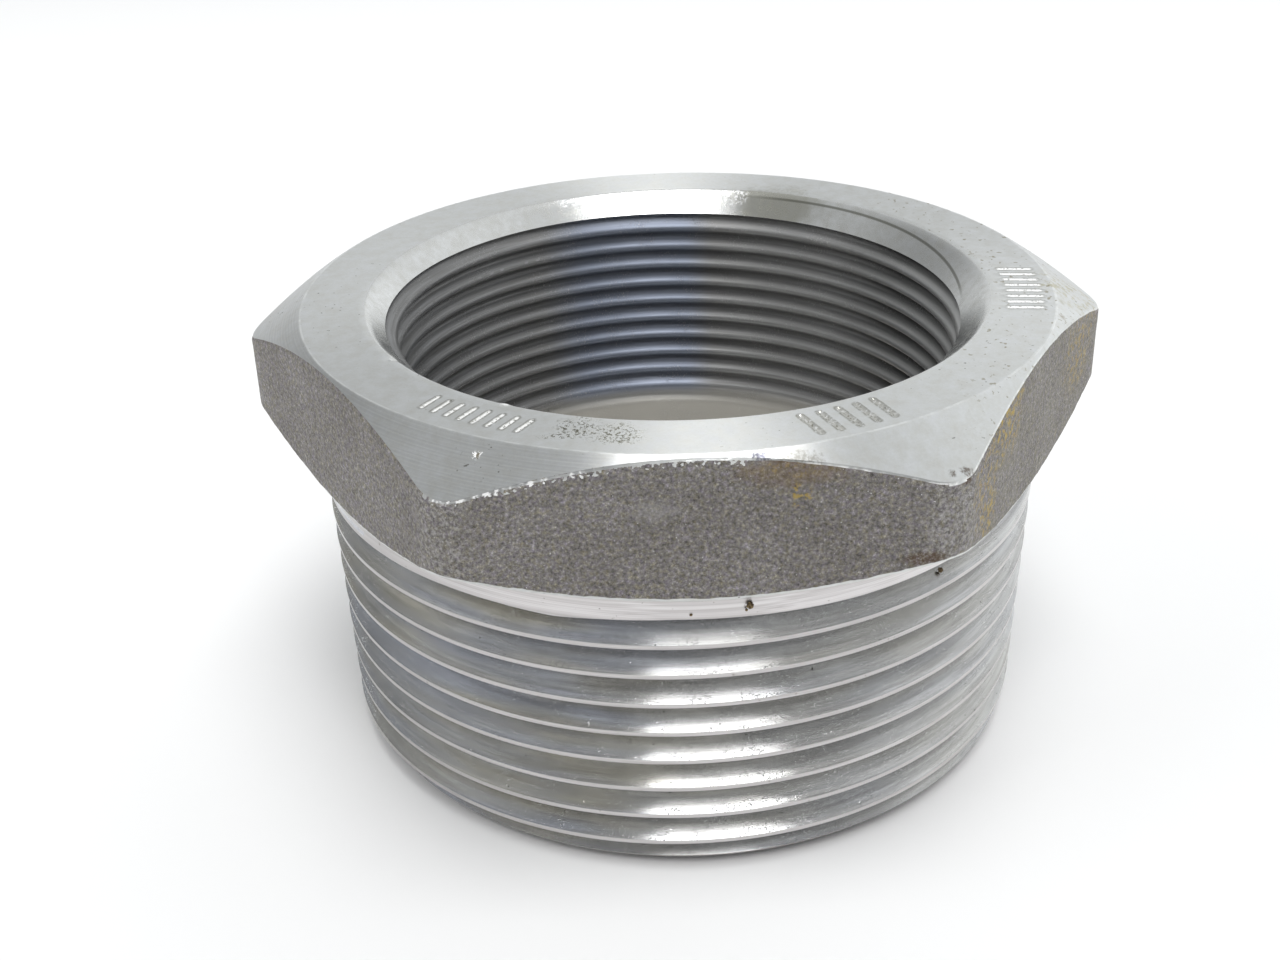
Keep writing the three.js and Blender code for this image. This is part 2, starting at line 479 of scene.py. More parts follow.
def stroke(angle, radius, length, lean):
    """A straight stamped stroke, leaning so many degrees from the direction round the axis."""
    middle = on_face(angle, radius)
    course = radians(angle + 90 + lean)
    half = Vector((cos(course), sin(course), 0)) * length / 2
    return middle - half, middle + half


def stroke_row(first_angle, step, radius, lengths):
    """Plain parallel bars at even steps round the top face, one for each length."""
    course = first_angle + step * (len(lengths) - 1) / 2
    places = [(first_angle + step * number, length) for number, length in enumerate(lengths)]
    return tuple(stroke(angle, radius, length, course - 90 - angle) for angle, length in places)


# Each row with its bars' half width and depth, and how bright and how dirty they are. The bars stand
# where the real face is stamped, are all alike within a row, and spell nothing.
# The bars' brightness paints fresh metal and a highlight.
STROKE_SETS = (
    (stroke_row(-131.4, 2.4, 34.3, [2.4] * 8), 0.20, 0.10, 0.8, 0.8),
    (stroke_row(-73.6, 2.975, 34.3, [3.6] * 5), 0.24, 0.16, 0.4, 1.0),
    (stroke_row(-15.2, 2.46, 34.6, [3.0] * 8), 0.32, 0.07, 1.0, 0.5))


def from_stroke(point, ends):
    """Distance from a point to a stroke's centre line, measured in the top face."""
    start, end = ends
    course = end - start
    share = max(0.0, min(1.0, (point - start).dot(course) / course.length_squared))
    return (point - start - course * share).length


def stroke_cut(point):
    """How deep the strokes are cut at a point, less the lip thrown up beside them, and how bright and
    how dirty the metal is there."""
    cut, fresh_and_highlight, dirty = 0.0, 0.0, 0.0
    for strokes, half_width, depth, brightness, dirt in STROKE_SETS:
        distance = min(from_stroke(point, ends) for ends in strokes)
        distance += 0.06 * soft_noise(point.x * 2.1, point.y * 2.1, 4.0)
        inside = max(0.0, 1 - (distance / half_width) ** 2)
        lip = max(0.0, 1 - abs(distance - half_width * 1.35) / 0.16)
        pecks = 0.8 + 0.4 * soft_noise(point.x * 3.3, point.y * 3.3, 9.0)
        cut += depth * inside * pecks - 0.03 * lip
        fresh_and_highlight = max(fresh_and_highlight, brightness * min(1.0, 1.8 * inside))
        dirty = max(dirty, dirt * min(1.0, 1.5 * inside + 0.9 * lip))
    return cut, fresh_and_highlight, dirty


def refine(work, wanted, cuts):
    """Splits the faces whose centre is wanted, each edge into cuts + 1."""
    chosen = [face for face in work.faces if wanted(face.calc_center_median() / MM)]
    edges = list({edge for face in chosen for edge in face.edges})
    bmesh.ops.subdivide_edges(work, edges=edges, cuts=cuts, use_grid_fill=True)


def near_a_stroke(point):
    if abs(point.z - FACE_Z) > 0.02:
        return False
    return any(from_stroke(point, ends) < 0.62 for strokes, *_ in STROKE_SETS for ends in strokes)


def stamp_top_face(work):
    """Cuts the groups of plain strokes into the top face."""
    refine(work, near_a_stroke, 3)
    fresh_highlight_layer = work.verts.layers.float["fresh_and_highlight"]
    dirty_layer = work.verts.layers.float["dirty"]
    for vertex in work.verts:
        point = vertex.co / MM
        if abs(point.z - FACE_Z) < 0.005 and point.length > COUNTERSINK_RADIUS:
            # The strokes' bright fresh metal is also a painted highlight.
            cut, fresh_and_highlight, dirty = stroke_cut(point)
            vertex.co.z = min(vertex.co.z - cut * MM, LENGTH * MM)
            vertex[fresh_highlight_layer] = fresh_and_highlight
            vertex[dirty_layer] = dirty


def radius_off(point):
    """How far a point lies outside the hexagon, negative inside."""
    return hypot(point.x, point.y) - float(hexagon_radius(atan2(point.y, point.x)))


def above_side(point):
    """How far a point lies above the ideal edge between a forged side and the top chamfer."""
    return point.z - top_chamfer_z(float(hexagon_radius(atan2(point.y, point.x))))


def on_front_edge(point):
    """True on the narrow strip along the left part of the front flat's upper edge and its left corner."""
    angle = degrees(atan2(point.y, point.x))
    return -122 < angle < -84 and -0.55 < above_side(point) < 0.3 and radius_off(point) > -0.26


def on_rim(point):
    """True on the upper edge of the forged sides, along the front and the right one."""
    angle = degrees(atan2(point.y, point.x))
    return -121 < angle < 2 and -0.24 < radius_off(point) < -0.03 and point.z > top_chamfer_z(CORNER_REACH)


def roughen_front_edge(work):
    """Torn metal along the upper edge of the front flat, thrown over it by the facing tool."""
    refine(work, on_front_edge, 3)
    fresh_highlight_layer = work.verts.layers.float["fresh_and_highlight"]
    for vertex in work.verts:
        point = vertex.co / MM
        if on_front_edge(point) and radius_off(point) > -0.2:
            jitter = soft_noise(point.x * 5.3, point.y * 5.3, point.z * 5.3)
            spread = 1 + soft_noise(point.x * 0.5, 3.0, 7.0)
            vertex.co.z += (0.07 * jitter * spread - 0.03) * MM
            vertex.co.y += 0.05 * abs(jitter) * spread * MM
    # Along the rim of the front and right flats, bright fresh metal in ragged stretches, painted near white
    # as the highlight its burr catches.
    for vertex in work.verts:
        point = vertex.co / MM
        if abs(point.x) > 8 and on_rim(point) and point.y < -20:
            brightness = 0.5 + 2.5 * soft_noise(point.x * 3.1, point.y * 3.1, 1.0)
            vertex[fresh_highlight_layer] = max(0.0, min(1.0, brightness))
    for edge in work.edges:
        if all(abs(radius_off(vertex.co / MM) + 0.25) < 0.02 for vertex in edge.verts):
            edge.smooth = False
    for face in work.faces:
        point = face.calc_center_median() / MM
        if face.material_index == FORGED and on_front_edge(point):
            below_edge = top_chamfer_z(hypot(point.x, point.y)) - point.z
            flake = soft_noise(point.x * 2.9, 1.0, point.z * 2.9 + 5)
            flake += 0.5 * soft_noise(point.x * 0.45, 2.0, 0.0)
            if flake > 0.05 + 0.5 * below_edge:
                face.material_index = FACED
        if face.material_index == FORGED and on_rim(point) and above_side(point) > -0.1:
            face.material_index = FACED


def nick(work, middle, radius, push, fresh_highlight_amount=0.0):
    """Pushes the surface near a point along a direction, most in the middle."""
    fresh_highlight_layer = work.verts.layers.float["fresh_and_highlight"]
    for vertex in work.verts:
        point = vertex.co / MM
        distance = (point - middle).length
        if distance < radius:
            ragged = 0.8 + 0.5 * soft_noise(point.x * 2.5, point.y * 2.5, point.z * 2.5)
            vertex.co += push * MM * ragged * (1 - distance / radius)
            vertex[fresh_highlight_layer] = max(vertex[fresh_highlight_layer], fresh_highlight_amount * (1 - distance / radius))


def wear(work):
    """The marks, burrs and nicks that handling and machining left."""
    work.verts.layers.float.new("fresh_and_highlight")
    work.verts.layers.float.new("dirty")
    stamp_top_face(work)
    roughen_front_edge(work)
    bore_edge = on_face(-149.6, COUNTERSINK_RADIUS)
    nick(work, bore_edge, 1.1, Vector((-0.25, -0.15, -0.25)))
    # The burr at the bore's edge is painted bright: fresh metal and a painted highlight.
    burr_root = on_face(-121.0, COUNTERSINK_RADIUS - 0.1)
    nick(work, burr_root, 0.7, Vector((0.14, 0.26, -0.02)), 1.3)
    nick(work, Vector((5.0, -37.9, 44.9)), 0.8, Vector((0.0, 0.16, -0.12)))


def mark_sharp_edges(work, limit):
    """Smooth shading all over, broken at sharp edges but not inside the rounded bore thread."""
    for face in work.faces:
        face.smooth = True
    for edge in work.edges:
        zones = [face.material_index for face in edge.link_faces]
        if zones != [BORE_FLANK, BORE_FLANK] and edge.calc_face_angle(0) > limit:
            edge.smooth = False
        if sorted(zones) == [BORE_FLANK, MOUTH] and edge.calc_face_angle(0) > radians(10):
            edge.smooth = False


def split_along_countersink(work):
    """Cuts the faces that the edge between bore thread and countersink crosses from corner to corner.
    Returns how far every vertex there lies below the countersink."""
    low = (LENGTH - 4.0) * MM
    cut = {}
    for vertex in work.verts:
        if vertex.co.z > low and vertex.co.xy.length < COUNTERSINK_RADIUS * MM:
            cut[vertex] = float(below_countersink(atan2(vertex.co.y, vertex.co.x), vertex.co.z / MM))
    for face in list(work.faces):
        corners = face.verts[:]
        four_sided = face.material_index == BORE_FLANK and len(corners) == 4
        if four_sided and all(vertex in cut for vertex in corners):
            on_line = [abs(cut[vertex]) < 0.01 for vertex in corners]
            if on_line in ([True, False, True, False], [False, True, False, True]):
                first = on_line.index(True)
                bmesh.utils.face_split(face, corners[first], corners[first + 2])
    return cut


def finish_turned(work):
    """Collar and countersink keep their turned finish wherever the threads leave them whole."""
    cut = split_along_countersink(work)
    for face in work.faces:
        if face.material_index == FLANK and face.calc_center_median().xy.length > (COLLAR_RADIUS - 0.04) * MM:
            face.material_index = CREST
        if face.material_index == BORE_FLANK and all(vertex in cut for vertex in face.verts):
            if sum(cut[vertex] for vertex in face.verts) < 0.005:
                face.material_index = MOUTH


def finish_mesh(body):
    """Works the marks into the mesh and sets which of its edges are sharp."""
    work = bmesh.new()
    work.from_mesh(body.data)
    finish_turned(work)
    wear(work)
    mark_sharp_edges(work, radians(28))
    work.to_mesh(body.data)
    work.free()
    weighted = body.modifiers.new("flat_faces_stay_flat", "WEIGHTED_NORMAL")
    weighted.keep_sharp = True


# -------- materials

class Tree:
    """A tree of shader nodes, with short calls that add nodes to it and return their outputs."""

    def __init__(self, tree):
        self.tree = tree

    def new(self, kind, *values, **settings):
        """A new node with these settings, whose first inputs are given these values."""
        node = self.tree.nodes.new("ShaderNode" + kind)
        for name, setting in settings.items():
            setattr(node, name, setting)
        for socket, value in zip(node.inputs, values):
            self.put(socket, value)
        return node

    def put(self, socket, value):
        """Gives a socket another node's output or a plain value."""
        if isinstance(value, bpy.types.NodeSocket):
            self.tree.links.new(value, socket)
        else:
            socket.default_value = value

    def math(self, operation, first, second=0.0, clamp=False):
        return self.new("Math", first, second, operation=operation, use_clamp=clamp).outputs[0]

    def times(self, first, second, clamp=False):
        return self.math("MULTIPLY", first, second, clamp)

    def vector(self, operation, first, second=(0, 0, 0), scale=1.0):
        node = self.new("VectorMath", first, second, (0, 0, 0), scale, operation=operation)
        return node.outputs["Value" if operation in ("DOT_PRODUCT", "LENGTH") else "Vector"]

    def rise(self, value, low, high, least=0.0, most=1.0, course="SMOOTHSTEP"):
        """Runs from least to most as value goes from low to high, as a smooth step or straight."""
        node = self.new("MapRange", value, low, high, least, most, interpolation_type=course)
        return node.outputs["Result"]


class Nodes(Tree):
    """One material's nodes. Lengths in them are millimetres."""

    def __init__(self, name, metallic, roughness):
        self.material = bpy.data.materials.new(name)
        self.material.use_nodes = True
        super().__init__(self.material.node_tree)
        self.shader = self.tree.nodes["Principled BSDF"]
        self.set("Metallic", metallic)
        self.set("Roughness", roughness)
        self.place = self.vector("SCALE", self.new("TexCoord").outputs["Object"], scale=1 / MM)
        self.x, self.y, self.z = self.new("SeparateXYZ", self.place).outputs
        squares = self.math("ADD", self.times(self.x, self.x), self.times(self.y, self.y))
        self.radius = self.math("SQRT", squares)

    def set(self, name, value):
        self.put(self.shader.inputs[name], value)

    def combine(self, x, y, z):
        return self.new("CombineXYZ", x, y, z).outputs[0]

    def attribute(self, name):
        return self.new("Attribute", attribute_name=name).outputs["Fac"]

    def noise(self, size, detail=2.0, roughness=0.5, vector=None, seed=0.0):
        """Noise from 0 to 1 with features about size across."""
        place = vector or self.place
        node = self.new("TexNoise", place, seed, 1 / size, detail, roughness, noise_dimensions="4D")
        return node.outputs["Fac"]

    def specks(self, size, detail, roughness, seed, *step):
        """Noise put through a smooth step, for specks and blotches about size across."""
        return self.rise(self.noise(size, detail, roughness, seed=seed), *step)

    def ramp(self, value, *stops):
        """A colour that runs through the stops, each a place from 0 to 1 and a colour."""
        node = self.new("ValToRGB", value)
        elements = node.color_ramp.elements
        while len(elements) < len(stops):
            elements.new(0.5)
        for element, (place, color) in zip(elements, stops):
            element.position = place
            element.color = (*color, 1)
        return node.outputs["Color"]

    def tones(self, value, dark, middle, light):
        """A colour from dark to light, over the range that noise fills."""
        return self.ramp(value, (0.32, dark), (0.5, middle), (0.68, light))

    def mix(self, factor, first, second, blend="MIX"):
        node = self.new("Mix", factor, data_type="RGBA", blend_type=blend)
        for socket, color in zip((node.inputs[6], node.inputs[7]), (first, second)):
            self.put(socket, color if isinstance(color, bpy.types.NodeSocket) else (*color, 1))
        return node.outputs[2]

    def cover(self, color, amount, strength, paint):
        """Lays a paint over a colour, as strongly as amount times strength."""
        return self.mix(self.times(amount, strength), color, paint)

    def near(self, point, reach, ragged=0.5, stretch=(1, 1, 1)):
        """1 at a point, falling to 0 about reach away, with a ragged edge."""
        offset = self.vector("SUBTRACT", self.place, point)
        squeezed = self.vector("DIVIDE", offset, stretch)
        distance = self.vector("LENGTH", squeezed)
        wander = self.math("SUBTRACT", self.noise(reach * 0.45, 3, 0.65), 0.5)
        wander = self.times(wander, 2.4 * reach * ragged)
        return self.rise(self.math("ADD", distance, wander), reach, reach * 0.45)

    def stain(self, color, grain, ragged, place, strength, paint):
        """Lays a grainy stain over a colour round a place, given by its point, reach and stretch."""
        point, reach, stretch = place
        patch = self.times(self.near(point, reach, ragged, stretch), grain)
        return self.cover(color, patch, strength, paint)

    def finish(self, color, relief, depth, tooled=0.0):
        """Sets the colour, fine relief depth millimetres high and how far highlights are spread across
        the tool marks, which run round the axis. Returns the material."""
        self.set("Base Color", color)
        node = self.new("Bump")
        node.inputs["Distance"].default_value = depth * MM
        self.put(node.inputs["Height"], relief)
        self.set("Normal", node.outputs[0])
        if tooled:
            outwards = self.vector("NORMALIZE", self.combine(self.x, self.y, 0.0))
            self.set("Tangent", self.vector("ADD", outwards, (0, 0, 1)))
            self.set("Anisotropic", tooled)
        return self.material


OCHRE = (0.46, 0.33, 0.07)
RUST = (0.105, 0.066, 0.04)
SOOT = (0.075, 0.07, 0.06)

# Every place is a point on the part, how far the stain reaches and how it is stretched.
# Ochre stains on the forged skin, with their strength.
OCHRE_STAINS = (
    (((8.3, -38.1, 41.4), 1.5, (0.7, 1, 1)), 0.8),
    (((7.5, -38.0, 44.0), 2.2, (1.9, 1, 0.5)), 0.4),
    (((27.6, -28.0, 42.6), 4.6, (0.8, 1.2, 1.0)), 0.95),
    (((24.8, -33.2, 38.6), 4.6, (0.6, 0.9, 1.3)), 0.65),
    (((25.4, -31.4, 35.2), 2.6, (0.8, 1, 0.9)), 0.8),
    (((39.5, -8.0, 40.5), 6.0, (1, 1.2, 0.9)), 0.60))
RUST_PATCHES = (
    ((19.0, -38.1, 34.9), 1.2, (2.2, 1, 0.7)),
    ((22.2, -36.9, 41.6), 0.7, (1.2, 1, 0.6)),
    ((8.6, -38.1, 44.62), 0.6, (5.5, 1, 0.5)))
PITTED_PATCHES = (
    ((-6.6, -33.3, FACE_Z), 3.2, (1.0, 0.75, 1)),
    ((-9.8, -31.9, FACE_Z), 2.4, (1, 1, 1)),
    ((-11.4, -33.4, FACE_Z), 1.4, (1.6, 0.5, 1)),
    ((-6.2, -34.6, FACE_Z), 1.5, (1.6, 0.6, 1)))
# Stains on the turned faces, with their strength and colour.
FACE_STAINS = (
    (((5.0, -37.8, 44.95), 0.85, (1.1, 1, 0.9)), 0.9, (0.11, 0.11, 0.15)),
    (((8.4, -37.8, 44.7), 1.1, (2.2, 1, 0.8)), 0.6, (0.20, 0.18, 0.14)),
    (((21.0, -36.9, 42.4), 0.50, (0.8, 1, 1)), 0.75, RUST),
    (((22.3, -36.3, 42.2), 0.62, (1.3, 1, 1)), 0.75, RUST),
    (((36.6, -11.0, 45.2), 0.55, (1, 1.3, 1)), 0.7, (0.26, 0.21, 0.12)),
    (((37.4, -7.5, 45.2), 0.5, (1, 2.0, 1)), 0.5, (0.40, 0.38, 0.26)),
    (((12.5, 28.0, 44.7), 4.0, (1.3, 1, 1)), 0.35, (0.30, 0.29, 0.22)))


def forged_stains(nodes, color, grain):
    """Ochre stains, a browned patch and rust, right of the middle of the front and on the right face."""
    flecks = nodes.specks(0.6, 3, 0.7, 11, 0.48, 0.62)
    for place, strength in OCHRE_STAINS:
        color = nodes.stain(color, flecks, 0.6, place, strength, OCHRE)
    browned = nodes.near((7.6, -38.1, 43.6), 3.0, 0.5, (2.0, 1, 0.6))
    color = nodes.cover(color, browned, 0.30, (0.21, 0.13, 0.05))
    crust = nodes.rise(grain, 0.62, 0.45, 0.3, 1.0)
    for place in RUST_PATCHES:
        color = nodes.stain(color, crust, 0.4, place, 0.9, RUST)
    return color


def forged_skin():
    nodes = Nodes("forged_skin", metallic=0.45, roughness=0.6)
    grain = nodes.noise(0.34, 4, 0.88)
    color = nodes.ramp(grain, (0.31, (0.046, 0.042, 0.039)), (0.44, (0.160, 0.151, 0.142)),
                       (0.56, (0.266, 0.253, 0.241)), (0.72, (0.57, 0.556, 0.54)))
    hue = nodes.ramp(nodes.noise(0.5, 3, 0.7, seed=3),
                     (0.34, (1.08, 1.04, 0.82)), (0.5, (1, 1, 1)), (0.66, (1.0, 0.95, 1.15)))
    color = nodes.mix(1.0, color, hue, "MULTIPLY")
    broad = nodes.ramp(nodes.noise(7.0, 3, 0.6, seed=6),
                       (0.35, (0.90, 0.89, 0.87)), (0.65, (1.08, 1.08, 1.08)))
    color = nodes.mix(1.0, color, broad, "MULTIPLY")
    rubbed = nodes.times(nodes.rise(nodes.radius, 41.9, 43.1), nodes.specks(0.35, 3, 0.7, 2, 0.46, 0.62))
    color = nodes.cover(color, rubbed, 0.5, (0.50, 0.49, 0.47))
    glint = nodes.specks(0.15, 1, 0.5, 8, 0.73, 0.80)
    color = nodes.mix(glint, color, (0.85, 0.85, 0.85))
    smudge = nodes.near((-3.7, -38.1, 40.5), 1.6, 0.5, (1.5, 1, 0.8))
    color = nodes.cover(color, smudge, 0.26, (0.42, 0.415, 0.405))
    aged = nodes.times(nodes.rise(nodes.x, 24.5, 27), nodes.specks(1.6, 4, 0.65, 54, 0.30, 0.74))
    color = nodes.cover(color, aged, 0.28, (0.34, 0.32, 0.24))
    nodes.set("Roughness", nodes.rise(grain, 0.3, 0.75, 0.68, 0.46))
    relief = nodes.math("ADD", grain, nodes.times(nodes.noise(0.9, 2, 0.5, seed=4), 1.2))
    return nodes.finish(forged_stains(nodes, color, grain), relief, 0.12)


def tool_lines(nodes, size):
    """Fine rings left by the turning tool, fading in and out round the axis."""
    course = nodes.combine(nodes.radius, 0.0, nodes.z)
    return nodes.noise(size, 2, 0.6, course, seed=nodes.noise(14.0, 1, 0.5))


def chamfer_lines(nodes, color, lines):
    """Feed marks and scoring on the top chamfer, strongest at the left."""
    depth = nodes.times(nodes.rise(nodes.radius, 37.5, 38.0), nodes.rise(nodes.x, 8, -6, 0.12, 1.0))
    feed = nodes.math("SINE", nodes.times(nodes.radius, 2 * pi / TOOL_FEED))
    feed_marks = nodes.times(nodes.rise(feed, -1, 1, 0, 0.16), depth)
    color = nodes.mix(feed_marks, color, (0.44, 0.45, 0.47))
    scoring = nodes.times(nodes.rise(lines, 0.42, 0.58, 0.14, 0.0), depth)
    return nodes.mix(scoring, color, (0.42, 0.43, 0.45))


def face_pits(nodes):
    """Fine pits in ragged patches at the front of the top face."""
    grain = nodes.specks(0.27, 3, 0.7, 9, 0.51, 0.57)
    pits = 0.0
    for point, reach, stretch in PITTED_PATCHES:
        patch = nodes.times(nodes.near(point, reach, 0.5, stretch), grain)
        pits = nodes.math("MAXIMUM", pits, patch)
    return pits


def face_stains(nodes, color, speckle):
    """Worn rim, dirt in the marks, dirt at the right-hand corner, spots and single stains. Returns the
    colour and where the marks are freshly cut, which is also painted near white as a highlight."""
    off_rim = nodes.math("ABSOLUTE", nodes.math("SUBTRACT", nodes.radius, TOP_FACE_RADIUS))
    worn = nodes.times(nodes.rise(off_rim, 0.17, 0.05), nodes.specks(2.0, 3, 0.6, 51, 0.42, 0.58, 0.15, 0.7))
    color = nodes.mix(worn, color, (0.93, 0.94, 0.93))
    packed = nodes.specks(0.34, 2, 0.6, 52, 0.30, 0.50)
    dirty = nodes.times(nodes.attribute("dirty"), packed, clamp=True)
    color = nodes.cover(color, dirty, 0.85, (0.17, 0.16, 0.11))
    # Fresh metal in the marks and along the rims, painted near white: partly real bright metal, partly
    # painted highlight.
    fresh_and_highlight = nodes.times(nodes.attribute("fresh_and_highlight"), nodes.rise(speckle, 0.36, 0.47), clamp=True)
    color = nodes.mix(fresh_and_highlight, color, (0.93, 0.93, 0.92))
    corner = nodes.times(nodes.near((40.5, -3.0, 43.6), 5.5, 0.5), nodes.specks(0.8, 3, 0.7, 53, 0.47, 0.60))
    color = nodes.cover(color, corner, 0.6, (0.42, 0.37, 0.16))
    spots = nodes.times(nodes.specks(0.55, 2, 0.5, 62, 0.64, 0.70), nodes.rise(nodes.x, 22, 27))
    color = nodes.cover(color, spots, 0.7, (0.26, 0.22, 0.12))
    crust = nodes.rise(speckle, 0.62, 0.42, 0.35, 1.0)
    for place, strength, paint in FACE_STAINS:
        color = nodes.stain(color, crust, 0.7, place, strength, paint)
    return color, fresh_and_highlight


def turned_face():
    nodes = Nodes("turned_face", metallic=1, roughness=0.34)
    lines = tool_lines(nodes, 0.11)
    mottle = nodes.noise(1.5, 4, 0.7)
    color = nodes.tones(mottle, (0.68, 0.68, 0.655), (0.715, 0.725, 0.715), (0.745, 0.757, 0.765))
    color = chamfer_lines(nodes, color, lines)
    dusting = nodes.specks(0.38, 4, 0.8, 61, 0.36, 0.64, 0.10, 0.0)
    color = nodes.mix(dusting, color, (0.36, 0.35, 0.30))
    grime = nodes.times(nodes.specks(0.42, 2, 0.5, 5, 0.665, 0.72), nodes.specks(7.0, 2, 0.5, 7, 0.50, 0.62))
    color = nodes.cover(color, grime, 0.8, (0.14, 0.13, 0.10))
    pits = face_pits(nodes)
    color = nodes.cover(color, pits, 0.85, (0.11, 0.105, 0.065))
    speckle = nodes.noise(0.30, 2, 0.6, seed=12)
    color, fresh_and_highlight = face_stains(nodes, color, speckle)
    # A cluster of pecks at the chamfer, dark with dirt and near white as a painted highlight.
    pecked = nodes.near((-18.2, -34.5, 44.5), 0.42, 0.9, (1.5, 1, 1))
    pecks = nodes.times(pecked, nodes.rise(speckle, 0.42, 0.50))
    peck_dirt_and_highlight = nodes.ramp(nodes.noise(0.4, 1, 0.5, seed=14),
                            (0.44, (0.16, 0.14, 0.10)), (0.52, (0.97, 0.97, 0.97)))
    color = nodes.mix(pecks, color, peck_dirt_and_highlight)
    # Where fresh metal and pecks are painted white as a highlight, the metal is made mostly non-metallic so
    # that the white shows whatever way it faces.
    nodes.set("Metallic", nodes.rise(nodes.math("MAXIMUM", fresh_and_highlight, pecks), 0.2, 0.9, 1.0, 0.2))
    dull = nodes.math("MAXIMUM", pits, nodes.times(grime, 0.6))
    polish = nodes.rise(mottle, 0.3, 0.7, 0.36, 0.32)
    nodes.set("Roughness", nodes.math("ADD", polish, nodes.times(dull, 0.3)))
    relief = nodes.math("ADD", nodes.times(lines, 0.25), nodes.times(mottle, 0.5))
    hollows = nodes.times(nodes.math("MAXIMUM", pits, pecks), nodes.times(speckle, 3.0))
    return nodes.finish(color, nodes.math("SUBTRACT", relief, hollows), 0.02, tooled=0.9)


def along_thread(nodes, stretch, across):
    """Coordinates for streaks along a thread: slow round the axis, quick across the flank."""
    return nodes.combine(nodes.times(nodes.x, stretch), nodes.times(nodes.y, stretch), across)


def thread_streaks(nodes, fineness):
    """The place across the thread, and streaks along it that differ at each turn."""
    across = nodes.attribute("across")
    course = along_thread(nodes, 0.10, nodes.times(across, fineness))
    return across, nodes.noise(1.0, 3, 0.65, course, seed=nodes.times(nodes.attribute("turns"), 3.7))


def torn_specks(nodes, seed):
    """Small torn patches that lie in stretches of the flank."""
    grain = nodes.specks(0.20, 2, 0.6, seed, 0.56, 0.66)
    stretches = nodes.specks(2.6, 2, 0.6, seed + 1, 0.45, 0.62)
    return nodes.times(grain, stretches)


def streaked(nodes, color, streaks, torn_and_sparkle, torn_height, tooled):
    """Gives a thread's material its colour and the fine relief of its flanks."""
    relief = nodes.math("ADD", nodes.times(streaks, 0.35), nodes.times(torn_and_sparkle, torn_height))
    return nodes.finish(color, relief, 0.03, tooled)


def thread_flank():
    nodes = Nodes("thread_flank", metallic=1, roughness=0.23)
    across, streaks = thread_streaks(nodes, 5.0)
    color = nodes.tones(streaks, (0.44, 0.435, 0.43), (0.53, 0.53, 0.525), (0.62, 0.62, 0.615))
    hue = nodes.noise(1.3, 2, 0.6, along_thread(nodes, 0.06, across),
                      seed=nodes.times(nodes.attribute("turns"), 2.3))
    tint = nodes.ramp(hue, (0.38, (0.95, 0.975, 1.05)), (0.5, (1, 1, 1)), (0.62, (1.035, 1.01, 0.93)))
    color = nodes.mix(nodes.rise(nodes.x, 4, -14, 0.3, 1.0), color, tint, "MULTIPLY")
    # Painted shade: the flank is made darker towards the thread root, where the crest above shades it.
    root_shade = nodes.rise(across, 0.7, 1.4, 0.0, 0.25)
    color = nodes.mix(root_shade, color, (0.30, 0.295, 0.295))
    # Torn specks: real torn metal in the relief, and painted near white as the sparkle they catch from the
    # lamp.
    torn_and_sparkle = torn_specks(nodes, 21)
    color = nodes.cover(color, torn_and_sparkle, 0.6, (0.93, 0.93, 0.93))
    grit = nodes.specks(0.5, 1, 0.5, 17, 0.755, 0.78)
    color = nodes.cover(color, grit, 0.8, SOOT)
    nodes.set("Roughness", nodes.rise(streaks, 0.35, 0.68, 0.26, 0.20))
    return streaked(nodes, color, streaks, torn_and_sparkle, 3.0, tooled=0.95)


def thread_crest():
    nodes = Nodes("thread_crest", metallic=1, roughness=0.34)
    lines = tool_lines(nodes, 0.16)
    color = nodes.ramp(lines, (0.36, (0.58, 0.555, 0.55)), (0.52, (0.69, 0.665, 0.665)),
                       (0.66, (0.76, 0.74, 0.74)))
    below_collar = nodes.rise(nodes.z, COLLAR_START_Z, COLLAR_START_Z - 0.4, 0.0, 0.4)
    color = nodes.mix(below_collar, color, (0.47, 0.455, 0.455))
    # Painted shade: the crests are made darker towards the left-hand side.
    color = nodes.mix(nodes.rise(nodes.x, -14, -33, 0.0, 0.55), color, (0.36, 0.35, 0.345))
    grit = nodes.specks(0.42, 2, 0.5, 19, 0.69, 0.73)
    color = nodes.cover(color, grit, 0.7, (0.20, 0.18, 0.15))
    nodes.set("Roughness", nodes.rise(lines, 0.3, 0.7, 0.40, 0.30))
    return nodes.finish(color, lines, 0.006, tooled=0.6)


